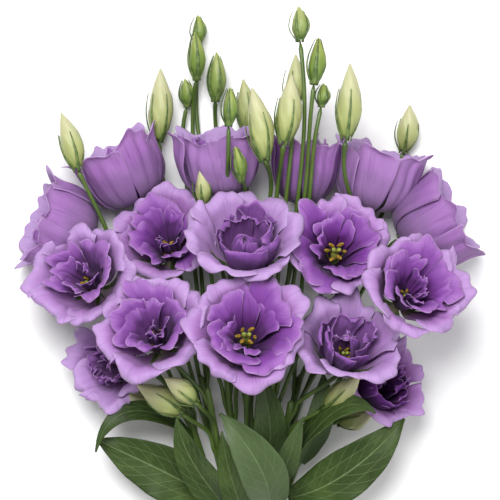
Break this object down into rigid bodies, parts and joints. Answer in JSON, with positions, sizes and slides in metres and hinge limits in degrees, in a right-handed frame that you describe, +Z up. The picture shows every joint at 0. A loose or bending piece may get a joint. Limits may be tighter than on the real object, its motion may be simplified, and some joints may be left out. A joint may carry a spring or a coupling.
{
  "type": "lisianthus bunch",
  "caption": "Tied bunch of cut double lisianthus lying on its back: open lilac flowers, closed pale green buds, broad leaves and slender stems held by a narrow band.",
  "frame": {"origin": "middle of the bunch's box, on the surface that it lies on", "axes": "+Y along the stems from the cut ends to the buds, +X across the bunch, +Z up, the way that the open flowers face"},
  "size_m": [0.2702, 0.5112, 0.1144],
  "materials": {
    "petal": "soft matt petal, lilac at the margin and violet toward the throat",
    "bud": "matt, pale cream green",
    "stem": "smooth satin green",
    "leaf": "matt grey green with pale veins",
    "band": "matt natural rubber"
  },
  "bodies": {
    "root": {"stem_01": "stem", "stem_02": "stem", "stem_03": "stem", "stem_04": "stem", "stem_05": "stem", "stem_06": "stem", "stem_07": "stem", "stem_08": "stem", "stem_09": "stem", "stem_10": "stem", "flower_01": "petal", "flower_02": "petal", "flower_03": "petal", "flower_04": "petal", "flower_05": "petal", "flower_06": "petal", "flower_07": "petal", "flower_08": "petal", "flower_09": "petal", "flower_10": "petal", "flower_11": "petal", "flower_12": "petal", "flower_13": "petal", "flower_14": "petal", "flower_15": "petal", "flower_16": "petal", "bud_01": "bud", "bud_02": "bud", "bud_03": "bud", "bud_04": "bud", "bud_05": "bud", "bud_06": "bud", "bud_07": "bud", "bud_08": "bud", "bud_09": "bud", "bud_10": "bud", "bud_11": "bud", "bud_12": "bud", "bud_13": "bud", "bud_14": "bud", "bud_15": "bud", "bud_16": "bud", "bud_17": "bud", "bud_18": "bud", "bud_19": "bud", "bud_20": "bud", "bud_21": "bud", "bud_22": "bud", "bud_23": "bud", "leaf_01": "leaf", "leaf_02": "leaf", "leaf_03": "leaf", "leaf_04": "leaf", "leaf_05": "leaf", "leaf_06": "leaf", "leaf_07": "leaf", "leaf_08": "leaf", "leaf_09": "leaf", "leaf_10": "leaf", "band": "band"}
  },
  "joints": []
}
